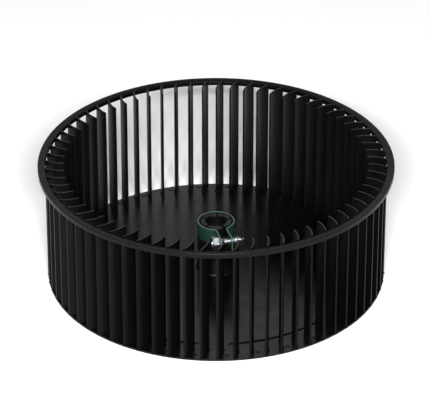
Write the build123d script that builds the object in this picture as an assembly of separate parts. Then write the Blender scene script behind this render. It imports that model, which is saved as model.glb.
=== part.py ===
from build123d import *
import math
import os

# Centrifugal blower wheel, millimetres, +Z up. The origin is on the wheel's axis, in the plane that
# the back plate rests on. Plan directions called "lean" are measured from -Y towards +X.

# Whole wheel
WHEEL_RADIUS = 114.3
WHEEL_HEIGHT = 80.8

# Cage of forward-curved blades: each is an arc that starts radial at its inner edge
BLADE_COUNT = 67
BLADE_INNER_RADIUS = 97.3
BLADE_THICKNESS = 1.1
BLADE_ARC_RADIUS = 18.6
BLADE_ARC_SWEEP = 60.0
FIRST_BLADE_ANGLE = 3.92
CAGE_RADIUS = 109.6

# Rim ring round the outside of the blade tops
RIM_HEIGHT = 3.2
RIM_EDGE_ROUND = 0.7

# Back plate: a foot annulus under the blades, a slightly raised floor inside it, and shallow round
# ejector marks between the blades, in every second gap
FOOT_TOP = 1.2
FLOOR_RADIUS = 92.0
FLOOR_TOP = 2.0
MARK_RADIUS = 1.5
MARK_DEPTH = 0.6
MARK_PLACE_RADIUS = 104.9
MARK_ANGLE_FROM_BLADE = 1.15

# Hub: a boss with a ring of split fingers above its shoulder
BORE_RADIUS = 6.35
BORE_CHAMFER = 0.5
BOSS_RADIUS = 12.2
BOSS_TOP = 26.6
BOSS_ROOT_ROUND = 1.5
FINGER_COUNT = 5
FINGER_RADIUS = 10.3
FINGER_TOP = 36.9
SLOT_WIDTH = 1.5
FIRST_SLOT_ANGLE = 13.6
FINGER_LEAD_IN = 0.7
FINGER_EDGE_ROUND = 0.35

# Sheet clamp: a band with two ears, sitting loose round the fingers, on the boss's shoulder
SHEET = 0.9
CLAMP_MID_RADIUS = 11.58
CLAMP_HEIGHT = 10.3
CLAMP_BACK_LEAN = 180.0
EAR_BEND_RADIUS = 2.8
EAR_REACH = 25.3
EAR_CORNER_RADIUS = 1.5
HEAD_ROOT_LEAN = -8.8
HEAD_EAR_LEAN = 14.4
THREAD_ROOT_LEAN = 42.0
THREAD_EAR_LEAN = 17.0
EAR_HOLE_RADIUS = 2.62

# Clamp screw: number 10 sheet-metal screw with a dished hex head, square to the ear it bears on
SCREW_DISTANCE = 18.6
HEAD_FLATS = 7.94
HEAD_HEIGHT = 4.0
HEAD_TURN = 18.0
HEAD_CHAMFER = 0.5
HEAD_DISH_RADIUS = 2.7
HEAD_DISH_DEPTH = 0.8
THREAD_RADIUS = 2.4
CORE_RADIUS = 1.75
THREAD_PITCH = 1.8
THREAD_TURNS = 8
SCREW_LENGTH = 17.0
POINT_RADIUS = 0.25


def tube(outer, inner, bottom, top):
    """A straight-walled ring about the Z axis."""
    ring = extrude(Circle(outer) - Circle(inner), top - bottom)
    return Pos(0, 0, bottom) * ring


def direction(lean):
    """Unit vector in plan, turned by lean degrees from -Y towards +X."""
    return Vector(math.sin(math.radians(lean)), -math.cos(math.radians(lean)), 0)


def rim_ring():
    ring = tube(WHEEL_RADIUS, CAGE_RADIUS, WHEEL_HEIGHT - RIM_HEIGHT, WHEEL_HEIGHT)
    outer_edges = ring.edges().filter_by(GeomType.CIRCLE).sort_by(SortBy.LENGTH)[-2:]
    return fillet(outer_edges, RIM_EDGE_ROUND)


def blade():
    """One blade, its inner edge on the +X axis. It stands on the foot annulus."""
    tip = BLADE_INNER_RADIUS + BLADE_THICKNESS / 2
    centre = (tip, -BLADE_ARC_RADIUS)
    start = 90 - BLADE_ARC_SWEEP
    convex = CenterArc(centre, BLADE_ARC_RADIUS + BLADE_THICKNESS / 2, start, BLADE_ARC_SWEEP)
    concave = CenterArc(centre, BLADE_ARC_RADIUS - BLADE_THICKNESS / 2, start, BLADE_ARC_SWEEP)
    nose = CenterArc((tip, 0), BLADE_THICKNESS / 2, 90, 180)
    tail = Line(convex @ 0, concave @ 0)
    profile = make_face([convex, nose, concave, tail]) & Circle(CAGE_RADIUS)
    return Pos(0, 0, FOOT_TOP) * extrude(profile, WHEEL_HEIGHT - FOOT_TOP)


def blades():
    one = blade()
    pitch = 360 / BLADE_COUNT
    turned = [Rot(0, 0, FIRST_BLADE_ANGLE + number * pitch) * one for number in range(BLADE_COUNT)]
    return Compound([solid for copy in turned for solid in copy.solids()])


def back_plate():
    plate = tube(CAGE_RADIUS, BOSS_RADIUS, 0, FOOT_TOP) + tube(FLOOR_RADIUS, BOSS_RADIUS, 0, FLOOR_TOP)
    mark = Pos(MARK_PLACE_RADIUS, 0, FOOT_TOP - MARK_DEPTH) * extrude(Circle(MARK_RADIUS), FLOOR_TOP)
    pitch = 360 / BLADE_COUNT
    half_count = BLADE_COUNT // 2
    marks = [
        Rot(0, 0, FIRST_BLADE_ANGLE + MARK_ANGLE_FROM_BLADE + gap * pitch) * mark
        for gap in range(2 - half_count, half_count + 1, 2)
    ]
    return plate - marks


def hub_boss():
    boss = tube(BOSS_RADIUS, BORE_RADIUS, 0, BOSS_TOP)
    mouth = boss.faces().sort_by(Axis.Z)[0].edges().sort_by(SortBy.LENGTH)[0]
    boss = chamfer(mouth, BORE_CHAMFER)
    flare_top = FLOOR_TOP + BOSS_ROOT_ROUND
    flare_radius = BOSS_RADIUS + BOSS_ROOT_ROUND
    curve = CenterArc((flare_radius, flare_top), BOSS_ROOT_ROUND, 180, 90)
    back = Polyline(curve @ 0, (BORE_RADIUS, flare_top), (BORE_RADIUS, FLOOR_TOP), curve @ 1)
    return boss + revolve(Plane.XZ * make_face([curve, *back.edges()]), Axis.Z)


def hub_finger(number):
    """One finger: the ring between two slots, with a lead-in at the bore's mouth."""
    ring = tube(FINGER_RADIUS, BORE_RADIUS, BOSS_TOP, FINGER_TOP)
    top_edges = ring.faces().sort_by(Axis.Z)[-1].edges().sort_by(SortBy.LENGTH)
    ring = chamfer(top_edges[0], FINGER_LEAD_IN)
    rounded = ring.faces().sort_by(Axis.Z)[-1].edges().sort_by(SortBy.LENGTH)[-1]
    ring = fillet(rounded, FINGER_EDGE_ROUND)
    span = 360 / FINGER_COUNT
    slot_angle = FIRST_SLOT_ANGLE + number * span
    for edge_angle, side in ((slot_angle, 1), (slot_angle + span, -1)):
        keep = Pos(0, side * (BOSS_RADIUS + SLOT_WIDTH / 2), BOSS_TOP) * Box(
            4 * BOSS_RADIUS, 2 * BOSS_RADIUS, 3 * BOSS_RADIUS
        )
        ring = ring & (Rot(0, 0, edge_angle) * keep)
    return ring


def strip(centre, lean_from, lean_to, radius):
    """A sheet-thick arc of the clamp's outline about centre, between two leans."""
    start = min(lean_from, lean_to) - 90
    sweep = abs(lean_to - lean_from)
    outer = CenterArc(centre, radius + SHEET / 2, start, sweep)
    inner = CenterArc(centre, radius - SHEET / 2, start, sweep)
    return make_face([outer, inner, Line(outer @ 0, inner @ 0), Line(outer @ 1, inner @ 1)])


def bend_place(root_lean):
    """Centre of the bend that turns the band outwards into an ear."""
    return direction(root_lean) * (CLAMP_MID_RADIUS + EAR_BEND_RADIUS)


def clamp_half(back_lean, root_lean, ear_lean, bend_end):
    """Half of the clamp, from its back to its ear. bend_end is the lean at which the bend runs out."""
    band = strip((0, 0), back_lean, root_lean, CLAMP_MID_RADIUS)
    bend = strip(bend_place(root_lean), root_lean + 180, bend_end, EAR_BEND_RADIUS)
    outward = direction(ear_lean)
    ear_start = bend_place(root_lean) + direction(bend_end) * EAR_BEND_RADIUS
    along = ear_start.dot(outward)
    ear_length = math.sqrt(along**2 + EAR_REACH**2 - ear_start.length**2) - along
    across = direction(ear_lean + 90) * (SHEET / 2)
    ear_end = ear_start + outward * ear_length
    ear = make_face(Polyline(
        ear_start + across, ear_end + across, ear_end - across, ear_start - across, close=True
    ))
    half = Pos(0, 0, BOSS_TOP) * extrude(band + bend + ear, CLAMP_HEIGHT)
    tip_face = half.faces().sort_by(Axis((0, 0, 0), outward))[-1]
    corners = tip_face.edges().filter_by(Axis((0, 0, 0), across))
    half = fillet(corners, EAR_CORNER_RADIUS)
    return half - screw_plane(-EAR_REACH) * extrude(Circle(EAR_HOLE_RADIUS), 2 * EAR_REACH)


def screw_plane(distance):
    """Plane across the screw's axis, that far along it from the foot of the hub's perpendicular."""
    axis = direction(HEAD_EAR_LEAN + 90)
    height = BOSS_TOP + CLAMP_HEIGHT / 2
    foot = direction(HEAD_EAR_LEAN) * SCREW_DISTANCE + Vector(0, 0, height)
    return Plane(origin=foot + axis * distance, x_dir=(0, 0, 1), z_dir=axis)


def screw_head():
    """The head, its end face on the XY plane and its underside facing +Z."""
    hexagon = RegularPolygon(HEAD_FLATS / 2, 6, major_radius=False, rotation=HEAD_TURN)
    corner = HEAD_FLATS / math.sqrt(3)
    crown = make_face(Polyline(
        (0, 0),
        (corner - 2 * HEAD_CHAMFER, 0),
        (corner, HEAD_CHAMFER),
        (corner, HEAD_HEIGHT),
        (0, HEAD_HEIGHT),
        close=True,
    ))
    head = extrude(hexagon, HEAD_HEIGHT) & revolve(Plane.XZ * crown, Axis.Z)
    return head - extrude(Circle(HEAD_DISH_RADIUS), HEAD_DISH_DEPTH, taper=20)


def screw_shank():
    """The shank and its point, with each turn of the thread as a ring-shaped ridge."""
    outline = [(0, 0), (CORE_RADIUS, 0)]
    for turn in range(THREAD_TURNS):
        crest = (turn + 0.75) * THREAD_PITCH
        outline.append((CORE_RADIUS, crest - THREAD_PITCH / 3))
        outline.append((THREAD_RADIUS, crest))
        outline.append((CORE_RADIUS, crest + THREAD_PITCH / 3))
    outline += [(POINT_RADIUS, SCREW_LENGTH), (0, SCREW_LENGTH)]
    return revolve(Plane.XZ * make_face(Polyline(*outline, close=True)), Axis.Z)


def clamp_screw():
    """The screw with the underside of its head flat against the outside of the head ear."""
    outer_face = bend_place(HEAD_ROOT_LEAN) + direction(HEAD_EAR_LEAN + 90) * (EAR_BEND_RADIUS - SHEET / 2)
    underside = outer_face.dot(direction(HEAD_EAR_LEAN + 90))
    screw = screw_head() + Pos(0, 0, HEAD_HEIGHT) * screw_shank()
    return screw_plane(underside - HEAD_HEIGHT) * screw


def make_nodes():
    head_bend_end = HEAD_EAR_LEAN + 90
    thread_bend_end = THREAD_EAR_LEAN + 270
    nodes = {
        "rim_ring": rim_ring(),
        "blades": blades(),
        "back_plate": back_plate(),
        "hub_boss": hub_boss(),
        "clamp_band": clamp_half(-CLAMP_BACK_LEAN, HEAD_ROOT_LEAN, HEAD_EAR_LEAN, head_bend_end),
        "clamp_free_half": clamp_half(
            CLAMP_BACK_LEAN, THREAD_ROOT_LEAN, THREAD_EAR_LEAN, thread_bend_end
        ),
        "clamp_screw": clamp_screw(),
    }
    for number in range(FINGER_COUNT):
        nodes[f"hub_finger_{number + 1}"] = hub_finger(number)
    return nodes


os.makedirs("parts", exist_ok=True)
for name, shape in make_nodes().items():
    export_step(shape, f"parts/{name}.step")
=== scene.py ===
import math

import bmesh
import bpy
from mathutils import Matrix, Vector
from mathutils.geometry import delaunay_2d_cdt


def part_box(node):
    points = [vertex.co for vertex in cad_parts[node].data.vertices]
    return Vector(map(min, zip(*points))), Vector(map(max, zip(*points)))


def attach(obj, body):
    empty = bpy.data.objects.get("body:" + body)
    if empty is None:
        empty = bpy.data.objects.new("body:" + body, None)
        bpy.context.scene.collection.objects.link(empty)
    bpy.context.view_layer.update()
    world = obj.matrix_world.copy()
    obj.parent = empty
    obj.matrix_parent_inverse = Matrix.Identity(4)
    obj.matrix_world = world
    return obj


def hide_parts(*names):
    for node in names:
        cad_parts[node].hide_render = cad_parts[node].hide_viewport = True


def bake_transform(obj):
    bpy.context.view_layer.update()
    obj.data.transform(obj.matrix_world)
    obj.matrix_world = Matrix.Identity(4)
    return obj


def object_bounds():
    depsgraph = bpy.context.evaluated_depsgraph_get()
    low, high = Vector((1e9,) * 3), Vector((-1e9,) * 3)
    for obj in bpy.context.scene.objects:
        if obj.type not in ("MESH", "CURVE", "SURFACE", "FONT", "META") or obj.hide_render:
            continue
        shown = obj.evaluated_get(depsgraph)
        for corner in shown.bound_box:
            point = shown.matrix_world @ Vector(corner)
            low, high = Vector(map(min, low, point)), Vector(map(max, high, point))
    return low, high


# Centrifugal blower wheel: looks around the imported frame. Metres, +Z up, origin on the wheel's axis.
# Plan directions called "lean" are measured in degrees from -Y towards +X.

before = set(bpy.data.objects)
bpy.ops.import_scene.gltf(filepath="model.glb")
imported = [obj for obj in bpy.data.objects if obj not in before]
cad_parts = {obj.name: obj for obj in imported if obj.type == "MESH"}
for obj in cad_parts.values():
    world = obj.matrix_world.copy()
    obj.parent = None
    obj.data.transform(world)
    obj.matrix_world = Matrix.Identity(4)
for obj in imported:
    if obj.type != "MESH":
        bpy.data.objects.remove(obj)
cad_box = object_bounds()

MM = 0.001
MICRON = 0.000001
MERGE_DISTANCE = 0.1 * MICRON

# Cage of blades, and the ring round its top. A crease is the angle, in degrees, above which an edge
# stays crisp.
BLADE_COUNT = 67
BLADE_INNER_RADIUS = 97.3 * MM
BLADE_THICKNESS = 1.1 * MM
BLADE_ARC_RADIUS = 18.6 * MM
BLADE_ARC_STEPS = 18
BLADE_NOSE_STEPS = 10
FIRST_BLADE_ANGLE = 3.92
BLADE_EDGE_ROUND = 0.2 * MM
BLADE_EDGE_STEPS = 3
BLADE_ROOT_ROUND = 0.5 * MM
BLADE_ROOT_MIDDLE = 0.3
BLADE_CREASE = 40
BLADE_TOP_INDEX = 1
CAGE_RADIUS = 109.6 * MM
RIM_EDGE_ROUND = 0.4 * MM
RIM_TOP_ROUND = 0.35 * MM
RIM_INNER_ROUND = 0.25 * MM
RIM_DISH = 0.6 * MM
RIM_EDGE_STEPS = 6
RIM_TOP_STEPS = 7
RIM_INNER_STEPS = 4
RIM_STEPS = 402
RIM_CREASE = 50

# Sheet clamp, built as one strip.
SHEET = 0.9 * MM
SHEET_EDGE_ROUND = 0.16 * MM
SHEET_EDGE_STEPS = 4
SHEET_STEP = 0.45 * MM
SHEET_LEAST_STEPS = 4
SHEET_ROWS = 9
SHEET_CREASE = 50
SHEET_OUTSIDE_INDEX = 0
SHEET_EDGE_INDEX = 1
SHEET_INSIDE_INDEX = 2
CLAMP_MID_RADIUS = 11.58 * MM
CLAMP_HEIGHT = 10.3 * MM
EAR_BEND_RADIUS = 2.8 * MM
EAR_REACH = 25.3 * MM
EAR_CORNER_RADIUS = 1.5 * MM
EAR_CORNER_STEPS = 10
EAR_HOLE_RADIUS = 2.62 * MM
EAR_HOLE_STEPS = 48
HEAD_ROOT_LEAN = -8.8
HEAD_EAR_LEAN = 14.4
THREAD_ROOT_LEAN = 42.0
THREAD_EAR_LEAN = 17.0

# Clamp screw. HEAD_SEAT_GAP keeps the head off the ear's face, and the thread starts THREAD_LEAD
# turns inside the head.
SCREW_DISTANCE = 18.6 * MM
HEAD_FLATS = 7.94 * MM
HEAD_HEIGHT = 4.0 * MM
HEAD_TURN = 18.0
HEAD_CORNER_RADIUS = 4.5 * MM
HEAD_FACE_SHARE = 0.92
HEAD_CHAMFER_ANGLE = 30.0
HEAD_EDGE_ROUND = 0.12 * MM
HEAD_SEAT_GAP = 0.03 * MM
HEAD_SEAT_RADIUS = 1.575 * MM
HEAD_DISH_RADIUS = 2.7 * MM
HEAD_DISH_DEPTH = 0.8 * MM
HEAD_DISH_STEPS = 6
HEAD_DISH_NARROWING = 0.35
HEAD_DISH_CENTRE_RADIUS = 0.135 * MM
HEAD_STEPS = 144
THREAD_RADIUS = 2.4 * MM
CORE_RADIUS = 1.75 * MM
THREAD_PITCH = 1.8 * MM
# One turn of the thread along the shank: share of the pitch, and share of the thread's height
THREAD_SHAPE = [
    (0.0, 0.0), (0.16, 0.0),
    (0.43, 0.96), (0.47, 1.0), (0.53, 1.0), (0.57, 0.96),
    (0.84, 0.0),
]
THREAD_LEAD = 1.4
SHANK_STEPS = 48
SCREW_LENGTH = 17.0 * MM
POINT_RADIUS = 0.25 * MM
POINT_SLOPE = 0.45
SCREW_MERGE_DISTANCE = MICRON
SCREW_CREASE = 28

# Colours: the darkest and the lightest of each finish
BLACK = (0.0011, 0.0011, 0.0011), (0.0022, 0.0022, 0.0021)
# Blade top faces are painted lighter than the black sides: a painted highlight where light falls on
# them
BLADE_TOP_PAINTED_HIGHLIGHT = (0.004, 0.004, 0.004), (0.008, 0.008, 0.008)
GREEN = (0.0025, 0.0155, 0.011), (0.004, 0.0235, 0.017)
# The clamp's inner faces are painted about five times darker than its outer faces: painted shade inside
# the band and ears
PAINTED_SHADE_GREEN = (0.0006, 0.0032, 0.0025), (0.001, 0.005, 0.004)
# Clamp edges are lighter partly from rubbed paint and partly as a painted highlight along the sheet's
# edges
RUBBED_GREEN_AND_HIGHLIGHT = (0.022, 0.065, 0.05), (0.075, 0.135, 0.11)
ZINC = (0.62, 0.65, 0.71), (0.69, 0.71, 0.77)

# Finishes: noise scales in marks per metre, roughness from lowest to highest, and bump depths.
# Most of a noise's values lie between NOISE_LOW and NOISE_HIGH.
NOISE_LOW = 0.3
NOISE_HIGH = 0.7
NO_STRETCH = (1, 1, 1)
UPRIGHT_STRETCH = (1, 1, 0.15)
PLASTIC_FLOW = 38.0
PLASTIC_GLOSS = 120.0
PLASTIC_GRAIN = 2600.0
PAINT_DRIFT = 160.0
PAINT_GLOSS = 420.0
PAINT_ROUGHNESS = (0.3, 0.46)
PAINT_PEEL = 1500.0
PAINT_PEEL_DEPTH = 6 * MICRON
EDGE_WEAR_AND_HIGHLIGHT = 700.0
EDGE_ROUGHNESS = (0.28, 0.4)
EDGE_METALLIC = 0.35
EDGE_SCUFFS = 2200.0
EDGE_SCUFF_DEPTH = 6 * MICRON
ZINC_CRYSTALS = 500.0
ZINC_ROUGHNESS = (0.2, 0.24)
ZINC_PITS = 1800.0
ZINC_PIT_DEPTH = 0.3 * MICRON

# Studio: each softbox's place, its width and height, and its power. All face the origin.
FLOOR_REACH = 4.0
FLOOR_WHITE = (0.9, 0.9, 0.9, 1)
FLOOR_ROUGHNESS = 0.9
WORLD_STRENGTH = 0.04
SOFTBOXES = {
    "key": ((0.0, -2.1, 1.33), (0.9, 0.14), 145),
    "top": ((0.0, -0.25, 1.7), (1.5, 1.3), 5),
    "card": ((0.78, -1.12, 1.73), (0.55, 0.4), 0.6),
    "back": ((0.0, 2.2, 1.35), (2.4, 1.2), 8),
}

# Camera, aimed below the ring's top and to the left of the axis
VIEW_ELEVATION = 29.58
VIEW_DISTANCE = 1.926
LENS = 251.7
SENSOR_WIDTH = 36
AIM_BELOW_RIM = 0.0353
AIM_SIDE = -0.0007


def direction(lean):
    """Unit vector in plan, turned by lean degrees from -Y towards +X."""
    return Vector((math.sin(math.radians(lean)), -math.cos(math.radians(lean)), 0))


def middle_height(node):
    """Height halfway up a node's box."""
    low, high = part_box(node)
    return (low.z + high.z) / 2


# Materials

def new_material(name):
    """A material with a Principled shader, and a helper that adds a node and sets its values."""
    material = bpy.data.materials.new(name)
    material.use_nodes = True
    tree = material.node_tree
    shader = tree.nodes["Principled BSDF"]

    def add(kind, **values):
        node = tree.nodes.new(kind)
        for key, value in values.items():
            if key in node.inputs:
                node.inputs[key].default_value = value
            else:
                setattr(node, key, value)
        return node

    return material, tree, shader, add


def noise(tree, add, scale, detail=4.0, roughness=0.55, stretch=NO_STRETCH):
    """Noise in the object's frame, stretched along an axis where the finish has a grain."""
    place = add("ShaderNodeTexCoord")
    mapping = add("ShaderNodeMapping", Scale=stretch)
    texture = add("ShaderNodeTexNoise", Scale=scale, Detail=detail, Roughness=roughness)
    tree.links.new(place.outputs["Object"], mapping.inputs["Vector"])
    tree.links.new(mapping.outputs["Vector"], texture.inputs["Vector"])
    return texture.outputs["Fac"]


def spread(tree, add, value, low=0.0, high=1.0):
    """value, from NOISE_LOW to NOISE_HIGH, mapped to low and high."""
    ramp = add("ShaderNodeMapRange")
    ramp.inputs["From Min"].default_value = NOISE_LOW
    ramp.inputs["From Max"].default_value = NOISE_HIGH
    ramp.inputs["To Min"].default_value = low
    ramp.inputs["To Max"].default_value = high
    tree.links.new(value, ramp.inputs["Value"])
    return ramp.outputs["Result"]


def coloured(tree, add, shader, value, colours):
    """Base colour that runs from the darkest to the lightest of colours with value."""
    dark, light = colours
    mix = add("ShaderNodeMix", data_type="RGBA")
    mix.inputs["A"].default_value = (*dark, 1)
    mix.inputs["B"].default_value = (*light, 1)
    tree.links.new(value, mix.inputs["Factor"])
    tree.links.new(mix.outputs["Result"], shader.inputs["Base Color"])


def roughened(tree, add, shader, value, roughness):
    """Roughness that runs from its lowest to its highest with value."""
    low, high = roughness
    tree.links.new(spread(tree, add, value, low, high), shader.inputs["Roughness"])


def bumped(tree, add, shader, value, depth):
    """Bumps as high as depth, from value."""
    bump = add("ShaderNodeBump", Strength=1.0, Distance=depth)
    tree.links.new(value, bump.inputs["Height"])
    tree.links.new(bump.outputs["Normal"], shader.inputs["Normal"])


def moulded(name, colours, roughness, grain_depth, specular, stretch=NO_STRETCH):
    """Black moulded plastic: faint flow marks in the colour and the gloss, and a fine surface grain."""
    material, tree, shader, add = new_material(name)
    flow = noise(tree, add, PLASTIC_FLOW, stretch=stretch)
    coloured(tree, add, shader, spread(tree, add, flow), colours)
    roughened(tree, add, shader, noise(tree, add, PLASTIC_GLOSS, stretch=stretch), roughness)
    bumped(tree, add, shader, noise(tree, add, PLASTIC_GRAIN, detail=2.0), grain_depth)
    shader.inputs["Specular IOR Level"].default_value = specular
    return material


def painted_steel(name, colours):
    """Paint on a face of the clamp, with a slow drift of colour and orange peel."""
    material, tree, shader, add = new_material(name)
    coloured(tree, add, shader, spread(tree, add, noise(tree, add, PAINT_DRIFT)), colours)
    roughened(tree, add, shader, noise(tree, add, PAINT_GLOSS), PAINT_ROUGHNESS)
    bumped(tree, add, shader, noise(tree, add, PAINT_PEEL, detail=3.0), PAINT_PEEL_DEPTH)
    return material


def clamp_edge():
    """The sheared edges of the strip: thin, rubbed paint, in a colour far lighter than the paint that
    is also a painted highlight along the edges.
    """
    material, tree, shader, add = new_material("clamp_edge")
    rubbed_and_highlight = spread(tree, add, noise(tree, add, EDGE_WEAR_AND_HIGHLIGHT))
    coloured(tree, add, shader, rubbed_and_highlight, RUBBED_GREEN_AND_HIGHLIGHT)
    roughened(tree, add, shader, rubbed_and_highlight, EDGE_ROUGHNESS)
    shader.inputs["Metallic"].default_value = EDGE_METALLIC
    bumped(tree, add, shader, noise(tree, add, EDGE_SCUFFS), EDGE_SCUFF_DEPTH)
    return material


def zinc():
    """Bright zinc plate, slightly blue, with crystal-sized changes of gloss."""
    material, tree, shader, add = new_material("screw_zinc")
    crystals = noise(tree, add, ZINC_CRYSTALS)
    coloured(tree, add, shader, spread(tree, add, crystals), ZINC)
    roughened(tree, add, shader, crystals, ZINC_ROUGHNESS)
    shader.inputs["Metallic"].default_value = 1.0
    bumped(tree, add, shader, noise(tree, add, ZINC_PITS), ZINC_PIT_DEPTH)
    return material


def paint_node(name, material):
    """Gives a frame node, which keeps its shape, its only material."""
    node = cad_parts[name]
    node.data.materials.clear()
    node.data.materials.append(material)


def finish_moulding():
    """The wheel moulding: the plate and hub in their own shapes, and a finer cage and ring."""
    plate = moulded(
        "plate_black", BLACK, roughness=(0.2, 0.3), grain_depth=3 * MICRON, specular=0.24
    )
    blade = moulded(
        "blade_black", BLACK, roughness=(0.3, 0.42), grain_depth=4 * MICRON, specular=0.08,
        stretch=UPRIGHT_STRETCH,
    )
    # The blade tops' lighter colour is a painted highlight on their top faces
    blade_top_painted_highlight = moulded(
        "blade_top_painted_highlight", BLADE_TOP_PAINTED_HIGHLIGHT, roughness=(0.34, 0.46), grain_depth=4 * MICRON, specular=0.4
    )
    ring = moulded(
        "ring_black", BLACK, roughness=(0.26, 0.36), grain_depth=6 * MICRON, specular=0.12
    )
    hub = moulded(
        "hub_black", BLACK, roughness=(0.32, 0.44), grain_depth=5 * MICRON, specular=0.25
    )
    paint_node("back_plate", plate)
    paint_node("hub_boss", hub)
    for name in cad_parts:
        if name.startswith("hub_finger"):
            paint_node(name, hub)
    blade_cage(blade, blade_top_painted_highlight)
    rim(ring)


# Pieces

def to_mesh(name, mesh):
    """Mesh data from a bmesh, which is freed."""
    data = bpy.data.meshes.new(name)
    mesh.to_mesh(data)
    mesh.free()
    return data


def new_piece(name, mesh, *materials):
    """An object in the scene, with its materials in the order of their indices."""
    piece = bpy.data.objects.new(name, mesh)
    bpy.context.scene.collection.objects.link(piece)
    for material in materials:
        mesh.materials.append(material)
    return piece


def shade_smooth(mesh, angle):
    """Smooth shading, with edges sharper than angle degrees kept crisp."""
    for polygon in mesh.polygons:
        polygon.use_smooth = True
    mesh.set_sharp_from_angle(angle=math.radians(angle))


def loop_inset(loop, inset):
    """The closed loop moved to its left by inset."""
    moved = []
    for index, point in enumerate(loop):
        before, after = loop[index - 1], loop[(index + 1) % len(loop)]
        run = (after - before).normalized()
        moved.append(point + Vector((-run.y, run.x)) * inset)
    return moved


def lofted(mesh, rings):
    """Faces between rings of the same number of places, and the vertices made for them."""
    verts = [[mesh.verts.new(place) for place in ring] for ring in rings]
    for lower, upper in zip(verts, verts[1:]):
        for index in range(len(lower)):
            mesh.faces.new((lower[index - 1], lower[index], upper[index], upper[index - 1]))
    return verts


# Cage and ring

def plan_arc(centre, radius, start, end, steps):
    """Places on an arc in a plane, angles in degrees from its first axis."""
    turns = [math.radians(start + (end - start) * step / steps) for step in range(steps + 1)]
    return [Vector(centre) + Vector((math.cos(turn), math.sin(turn))) * radius for turn in turns]


def blade_outline():
    """One blade's section in plan, anticlockwise, its inner edge on the +X axis."""
    tip = BLADE_INNER_RADIUS + BLADE_THICKNESS / 2
    centre = Vector((tip, -BLADE_ARC_RADIUS))

    def cage_angle(radius):
        """Angle at which an arc about centre meets the outside of the cage."""
        reach = CAGE_RADIUS**2 - centre.length_squared - radius**2
        swing = math.acos(reach / (2 * radius * centre.length))
        return math.degrees(math.atan2(centre.y, centre.x) + swing)

    convex = BLADE_ARC_RADIUS + BLADE_THICKNESS / 2
    concave = BLADE_ARC_RADIUS - BLADE_THICKNESS / 2
    outline = plan_arc(centre, convex, cage_angle(convex), 90, BLADE_ARC_STEPS)
    outline += plan_arc((tip, 0), BLADE_THICKNESS / 2, 90, 270, BLADE_NOSE_STEPS)[1:]
    outline += plan_arc(centre, concave, 90, cage_angle(concave), BLADE_ARC_STEPS)[1:]
    return outline


def blade_sections():
    """Inset and height of each section of a blade, from its root fillet to its rounded top."""
    low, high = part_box("blades")
    sections = [
        (-BLADE_ROOT_ROUND, low.z),
        (-BLADE_ROOT_ROUND * BLADE_ROOT_MIDDLE, low.z + BLADE_ROOT_ROUND * BLADE_ROOT_MIDDLE),
        (0, low.z + BLADE_ROOT_ROUND),
    ]
    for step in range(BLADE_EDGE_STEPS + 1):
        angle = math.pi / 2 * step / BLADE_EDGE_STEPS
        inset = BLADE_EDGE_ROUND * (1 - math.cos(angle))
        sections.append((inset, high.z - BLADE_EDGE_ROUND * (1 - math.sin(angle))))
    return sections


def blade_cage(side_material, top_highlight_material):
    """All blades, with softened top edges and a fillet where each stands on the foot."""
    outline = blade_outline()
    sections = blade_sections()
    mesh = bmesh.new()
    for number in range(BLADE_COUNT):
        turn = math.radians(FIRST_BLADE_ANGLE + 360 * number / BLADE_COUNT)
        spin = Matrix.Rotation(turn, 3, "Z")
        rings = []
        for inset, height in sections:
            places = loop_inset(outline, inset)
            rings.append([spin @ Vector((place.x, place.y, height)) for place in places])
        verts = lofted(mesh, rings)
        # Top faces take the lighter material, a painted highlight
        mesh.faces.new(verts[-1]).material_index = BLADE_TOP_INDEX
        mesh.faces.new(reversed(verts[0]))
    piece = new_piece("blade_cage", to_mesh("blade_cage", mesh), side_material, top_highlight_material)
    shade_smooth(piece.data, BLADE_CREASE)
    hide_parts("blades")
    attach(piece, "wheel")


def rim_profile(bottom, top, outer):
    """The ring's section, radius and height, from its bottom inner corner round to its inside."""
    far = outer - RIM_TOP_ROUND
    near = CAGE_RADIUS + RIM_INNER_ROUND
    dish_angle = 90 + math.degrees(math.atan2(RIM_DISH, far - near))
    foot_centre = (outer - RIM_EDGE_ROUND, bottom + RIM_EDGE_ROUND)
    top_centre = (far, top - RIM_TOP_ROUND)
    inner_centre = (near, top - RIM_DISH - RIM_INNER_ROUND)
    profile = [Vector((CAGE_RADIUS, bottom))]
    profile += plan_arc(foot_centre, RIM_EDGE_ROUND, -90, 0, RIM_EDGE_STEPS)
    profile += plan_arc(top_centre, RIM_TOP_ROUND, 0, dish_angle, RIM_TOP_STEPS)
    profile += plan_arc(inner_centre, RIM_INNER_ROUND, dish_angle, 180, RIM_INNER_STEPS)
    return profile


def rim(material):
    """The ring round the blade tops: round outer edges, and a top that falls away inwards."""
    low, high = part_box("rim_ring")
    profile = rim_profile(low.z, high.z, (high.x - low.x) / 2)
    mesh = bmesh.new()
    rings = []
    for step in range(RIM_STEPS + 1):
        turn = math.tau * step / RIM_STEPS
        across = Vector((math.cos(turn), math.sin(turn), 0))
        rings.append([across * place.x + Vector((0, 0, place.y)) for place in profile])
    lofted(mesh, rings)
    bmesh.ops.remove_doubles(mesh, verts=mesh.verts, dist=MERGE_DISTANCE)
    bmesh.ops.recalc_face_normals(mesh, faces=mesh.faces)
    piece = new_piece("rim", to_mesh("rim", mesh), material)
    shade_smooth(piece.data, RIM_CREASE)
    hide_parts("rim_ring")
    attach(piece, "wheel")


# Clamp: one bent strip, drawn flat and then rolled along its path

def bend_centre(root_lean):
    """Centre of the bend between the band and an ear."""
    return direction(root_lean) * (CLAMP_MID_RADIUS + EAR_BEND_RADIUS)


def straight(start, lean, length):
    """A straight run: its length, and the place and the lean of travel at a distance along it."""
    return length, lambda distance: (start + direction(lean) * distance, lean)


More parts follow.
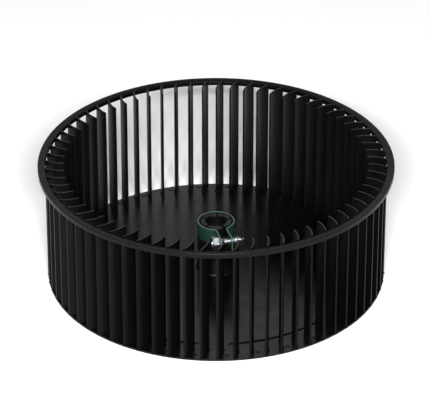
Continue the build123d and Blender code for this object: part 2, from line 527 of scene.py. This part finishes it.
def arc(centre, radius, lean_from, lean_to):
    """A run round centre, as straight() gives one."""
    sweep = lean_to - lean_from
    length = radius * math.radians(abs(sweep))
    side = math.copysign(90, sweep)

    def station(distance):
        lean = lean_from + sweep * distance / length
        return centre + direction(lean) * radius, lean + side

    return length, station


def ear(root_lean, bend_end, ear_lean):
    """Where an ear leaves its bend, and how far it runs to reach EAR_REACH."""
    start = bend_centre(root_lean) + direction(bend_end) * EAR_BEND_RADIUS
    along = start.dot(direction(ear_lean))
    return start, math.sqrt(along**2 + EAR_REACH**2 - start.length_squared) - along


def hole_distance(start, ear_lean):
    """How far along the ear the screw's axis crosses it."""
    square = direction(HEAD_EAR_LEAN)
    return (SCREW_DISTANCE - start.dot(square)) / direction(ear_lean).dot(square)


def clamp_path():
    """The strip's runs from the head ear's tip to the thread ear's, its length, and its two holes."""
    head_bend_end = HEAD_EAR_LEAN + 90
    thread_bend_end = THREAD_EAR_LEAN + 270
    head_start, head_length = ear(HEAD_ROOT_LEAN, head_bend_end, HEAD_EAR_LEAN)
    thread_start, thread_length = ear(THREAD_ROOT_LEAN, thread_bend_end, THREAD_EAR_LEAN)
    head_tip = head_start + direction(HEAD_EAR_LEAN) * head_length
    head_bend, thread_bend = bend_centre(HEAD_ROOT_LEAN), bend_centre(THREAD_ROOT_LEAN)
    runs = [
        straight(head_tip, HEAD_EAR_LEAN + 180, head_length),
        arc(head_bend, EAR_BEND_RADIUS, head_bend_end, HEAD_ROOT_LEAN + 180),
        arc(Vector(), CLAMP_MID_RADIUS, HEAD_ROOT_LEAN, THREAD_ROOT_LEAN - 360),
        arc(thread_bend, EAR_BEND_RADIUS, THREAD_ROOT_LEAN + 180, thread_bend_end),
        straight(thread_start, THREAD_EAR_LEAN, thread_length),
    ]
    length = sum(run[0] for run in runs)
    head_hole = head_length - hole_distance(head_start, HEAD_EAR_LEAN)
    thread_hole = length - thread_length + hole_distance(thread_start, THREAD_EAR_LEAN)
    holes = [Vector((distance, CLAMP_HEIGHT / 2)) for distance in (head_hole, thread_hole)]
    return runs, length, holes


def roller(runs, bottom):
    """A function from a place on the flat strip, and a distance out from its middle, to space."""
    def rolled(flat, out):
        distance = flat.x
        for number, (run_length, station) in enumerate(runs):
            if distance <= run_length or number == len(runs) - 1:
                break
            distance -= run_length
        place, lean = station(distance)
        return place + direction(lean + 90) * out + Vector((0, 0, bottom + flat.y))

    return rolled


def sheet_outline(length):
    """The flat strip's outline, anticlockwise, with round ear corners."""
    radius = EAR_CORNER_RADIUS
    corners = [
        Vector((length - radius, radius)),
        Vector((length - radius, CLAMP_HEIGHT - radius)),
        Vector((radius, CLAMP_HEIGHT - radius)),
        Vector((radius, radius)),
    ]
    places = []
    for number, corner in enumerate(corners):
        start = 90 * (number - 1)
        places += plan_arc(corner, radius, start, start + 90, EAR_CORNER_STEPS)
        gap = corners[(number + 1) % len(corners)] - corner
        count = max(SHEET_LEAST_STEPS, round(gap.length / SHEET_STEP))
        last = places[-1]
        places += [last + gap * step / count for step in range(1, count)]
    return places


def sheet_loops(length, holes):
    """The flat strip's outline, and its holes' outlines clockwise."""
    loops = [sheet_outline(length)]
    for hole in holes:
        loops.append(plan_arc(hole, EAR_HOLE_RADIUS, 0, -360, EAR_HOLE_STEPS)[:-1])
    return loops


def edge_profile():
    """Inset and distance out, round the sheet's edge from its outer face to its inner one."""
    half = SHEET / 2
    profile = []
    for step in range(SHEET_EDGE_STEPS + 1):
        angle = math.pi / 2 * step / SHEET_EDGE_STEPS
        inset = SHEET_EDGE_ROUND * (1 - math.sin(angle))
        profile.append((inset, half - SHEET_EDGE_ROUND * (1 - math.cos(angle))))
    return profile + [(inset, -out) for inset, out in reversed(profile)]


def sheet_edges(mesh, loops, rolled):
    """Rounded edges along all loops. Gives their rims on the outer face and on the inner face."""
    outer_rims, inner_rims = [], []
    for loop in loops:
        rings = []
        for inset, out in edge_profile():
            rings.append([mesh.verts.new(rolled(flat, out)) for flat in loop_inset(loop, inset)])
        for upper, lower in zip(rings, rings[1:]):
            for index in range(len(loop)):
                corners = (upper[index - 1], lower[index - 1], lower[index], upper[index])
                mesh.faces.new(corners).material_index = SHEET_EDGE_INDEX
        outer_rims.append(rings[0])
        inner_rims.append(rings[-1])
    return outer_rims, inner_rims


def sheet_spots(length, holes):
    """A grid of places inside the flat strip, clear of its ends and its holes."""
    spots = []
    columns = round(length / SHEET_STEP)
    clearance = EAR_HOLE_RADIUS + 2 * SHEET_EDGE_ROUND
    for column in range(1, columns):
        for row in range(1, SHEET_ROWS):
            spot = Vector((length * column / columns, CLAMP_HEIGHT * row / SHEET_ROWS))
            near_hole = any((spot - hole).length < clearance for hole in holes)
            end_gap = min(spot.x, length - spot.x)
            if not near_hole and end_gap > EAR_CORNER_RADIUS:
                spots.append(spot)
    return spots


def loop_edges(loops):
    """Index pairs along each closed loop, the loops' places counted in one row."""
    edges = []
    first = 0
    for loop in loops:
        count = len(loop)
        edges += [(first + index, first + (index + 1) % count) for index in range(count)]
        first += count
    return edges


def clamp_mesh():
    """The strip's rounded edges, and its two faces in triangles small enough to bend."""
    runs, length, holes = clamp_path()
    rolled = roller(runs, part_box("clamp_band")[0].z)
    loops = sheet_loops(length, holes)
    mesh = bmesh.new()
    outer_rims, inner_rims = sheet_edges(mesh, loops, rolled)

    flats = [loop_inset(loop, SHEET_EDGE_ROUND) for loop in loops]
    points = [point for flat in flats for point in flat] + sheet_spots(length, holes)
    edges = loop_edges(flats)
    spots, _, triangles, origins, _, _ = delaunay_2d_cdt(points, edges, [], 1, MERGE_DISTANCE)
    first_hole_vert = len(loops[0])
    sides = [
        (outer_rims, SHEET / 2, SHEET_OUTSIDE_INDEX),
        (inner_rims, -SHEET / 2, SHEET_INSIDE_INDEX),
    ]
    for rims, out, material_index in sides:
        rim_verts = [vert for ring in rims for vert in ring]
        verts = []
        on_hole = []
        for spot, origin in zip(spots, origins):
            known = [index for index in origin if index < len(rim_verts)]
            verts.append(rim_verts[known[0]] if known else mesh.verts.new(rolled(spot, out)))
            on_hole.append(bool(known) and known[0] >= first_hole_vert)
        for triangle in triangles:
            if all(on_hole[index] for index in triangle):
                continue
            corners = [verts[index] for index in triangle]
            mesh.faces.new(corners).material_index = material_index
    bmesh.ops.recalc_face_normals(mesh, faces=mesh.faces)
    return to_mesh("sheet_clamp", mesh)


def sheet_clamp():
    """The clamp as one painted strip, in place of the band and its free half."""
    outside = painted_steel("clamp_green", GREEN)
    # The inner faces get a darker copy of the paint, which is painted shade
    inside = painted_steel("clamp_green_inside_painted_shade", PAINTED_SHADE_GREEN)
    piece = new_piece("sheet_clamp", clamp_mesh(), outside, clamp_edge(), inside)
    shade_smooth(piece.data, SHEET_CREASE)
    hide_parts("clamp_band", "clamp_free_half")
    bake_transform(piece)


# Screw

def screw_matrix():
    """The screw's own frame: +Z along the shank, +X up, origin where the head's end face is."""
    along = direction(HEAD_EAR_LEAN + 90)
    up = Vector((0, 0, 1))
    outer_face = bend_centre(HEAD_ROOT_LEAN) + along * (EAR_BEND_RADIUS - SHEET / 2)
    origin = direction(HEAD_EAR_LEAN) * SCREW_DISTANCE
    origin += along * (outer_face.dot(along) - HEAD_HEIGHT)
    origin.z = middle_height("clamp_band")
    matrix = Matrix((up, along.cross(up), along)).transposed().to_4x4()
    matrix.translation = origin
    return matrix


def hexagon_radius(turn):
    """Radius of the head's outline, its corners rounded off, at an angle from local +X."""
    sixth = math.tau / 6
    from_flat = (turn - math.radians(HEAD_TURN)) % sixth - sixth / 2
    return min(HEAD_FLATS / 2 / math.cos(from_flat), HEAD_CORNER_RADIUS)


def polar(radius, turn, height):
    """A place in the screw's own frame, turned by turn radians from its +X."""
    return Vector((radius * math.cos(turn), radius * math.sin(turn), height))


def head_rings():
    """The head from its underside round to the bottom of its dish."""
    turns = [math.tau * step / HEAD_STEPS for step in range(HEAD_STEPS)]

    def circle(radius, height):
        return [polar(radius, turn, height) for turn in turns]

    chamfer_from = HEAD_FLATS / 2 * HEAD_FACE_SHARE
    slope = math.tan(math.radians(HEAD_CHAMFER_ANGLE))
    seat = HEAD_HEIGHT - HEAD_SEAT_GAP
    sides = [hexagon_radius(turn) for turn in turns]
    rings = [circle(HEAD_SEAT_RADIUS, seat)]
    rings.append([polar(side - HEAD_EDGE_ROUND, turn, seat) for side, turn in zip(sides, turns)])
    rings.append([polar(side, turn, seat - HEAD_EDGE_ROUND) for side, turn in zip(sides, turns)])
    rings.append([polar(side, turn, (side - chamfer_from) * slope) for side, turn in zip(sides, turns)])
    rings.append(circle(chamfer_from, 0))
    rings.append(circle(HEAD_DISH_RADIUS, 0))
    for step in range(1, HEAD_DISH_STEPS + 1):
        angle = math.pi / 2 * step / HEAD_DISH_STEPS
        radius = HEAD_DISH_RADIUS * (1 - HEAD_DISH_NARROWING * math.sin(angle))
        rings.append(circle(radius, HEAD_DISH_DEPTH * (1 - math.cos(angle))))
    rings.append(circle(HEAD_DISH_CENTRE_RADIUS, HEAD_DISH_DEPTH))
    return rings


def shank_grid():
    """Rows that climb with the helix, so that the crest and both flanks stay crisp."""
    tip = SCREW_LENGTH + HEAD_HEIGHT
    rows = []
    turn_count = math.ceil(SCREW_LENGTH / THREAD_PITCH) + 2
    for turn_number in range(turn_count):
        for along, lift in THREAD_SHAPE:
            row = []
            for step in range(SHANK_STEPS + 1):
                climb = turn_number - THREAD_LEAD + along + step / SHANK_STEPS
                height = HEAD_HEIGHT + THREAD_PITCH * climb
                left = tip - height
                if left <= 0:
                    row.append(Vector((0, 0, tip)))
                    continue
                core = min(CORE_RADIUS, POINT_RADIUS + left * POINT_SLOPE)
                ridge = (THREAD_RADIUS - CORE_RADIUS) * lift * min(1, left / THREAD_PITCH)
                row.append(polar(core + ridge, math.tau * step / SHANK_STEPS, height))
            rows.append(row)
    return rows


def screw_mesh():
    """The head and the threaded shank, both closed, moved to the screw's place."""
    mesh = bmesh.new()
    lofted(mesh, head_rings())
    rows = [[mesh.verts.new(place) for place in row] for row in shank_grid()]
    for lower, upper in zip(rows, rows[1:]):
        for index in range(len(lower) - 1):
            mesh.faces.new((lower[index], lower[index + 1], upper[index + 1], upper[index]))
    bmesh.ops.remove_doubles(mesh, verts=mesh.verts, dist=SCREW_MERGE_DISTANCE)
    bmesh.ops.dissolve_degenerate(mesh, edges=mesh.edges, dist=SCREW_MERGE_DISTANCE)
    bmesh.ops.holes_fill(mesh, edges=mesh.edges)
    bmesh.ops.recalc_face_normals(mesh, faces=mesh.faces)
    bmesh.ops.transform(mesh, matrix=screw_matrix(), verts=mesh.verts)
    return to_mesh("hex_screw", mesh)


def hex_screw():
    """The clamp's screw."""
    piece = new_piece("hex_screw", screw_mesh(), zinc())
    shade_smooth(piece.data, SCREW_CREASE)
    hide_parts("clamp_screw")
    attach(piece, "screw")


# Stage

def place_facing(thing, place, target):
    """Puts a lamp or a camera at place, looking at target."""
    bpy.context.scene.collection.objects.link(thing)
    thing.location = place
    thing.rotation_mode = "QUATERNION"
    thing.rotation_quaternion = (Vector(target) - Vector(place)).to_track_quat("-Z", "Y")


def floor():
    """A plain pale floor."""
    mesh = bpy.data.meshes.new("floor")
    corners = [(-1, -1), (1, -1), (1, 1), (-1, 1)]
    mesh.from_pydata([(x * FLOOR_REACH, y * FLOOR_REACH, 0) for x, y in corners], [], [(0, 1, 2, 3)])
    material, _, shader, _ = new_material("floor_white")
    shader.inputs["Base Color"].default_value = FLOOR_WHITE
    shader.inputs["Roughness"].default_value = FLOOR_ROUGHNESS
    new_piece("floor", mesh, material)


def lights():
    """A dim white world, and the softboxes."""
    world = bpy.data.worlds.new("studio")
    bpy.context.scene.world = world
    world.use_nodes = True
    background = world.node_tree.nodes["Background"]
    background.inputs["Color"].default_value = (1, 1, 1, 1)
    background.inputs["Strength"].default_value = WORLD_STRENGTH
    for name, (place, (width, height), power) in SOFTBOXES.items():
        light = bpy.data.lights.new(name, "AREA")
        light.shape = "RECTANGLE"
        light.size = width
        light.size_y = height
        light.energy = power
        place_facing(bpy.data.objects.new(name, light), place, (0, 0, 0))


def camera():
    """A long lens that looks down from the front."""
    rim_top = cad_box[1].z
    elevation = math.radians(VIEW_ELEVATION)
    back = Vector((0, -math.cos(elevation), math.sin(elevation)))
    data = bpy.data.cameras.new("camera")
    data.lens = LENS
    data.sensor_width = SENSOR_WIDTH
    cam = bpy.data.objects.new("camera", data)
    place = Vector((0, 0, rim_top)) + back * VIEW_DISTANCE
    place_facing(cam, place, (AIM_SIDE, 0, rim_top - AIM_BELOW_RIM))
    bpy.context.scene.camera = cam


camera()
floor()
lights()
finish_moulding()
sheet_clamp()
hex_screw()
bpy.context.scene.view_settings.view_transform = "Standard"
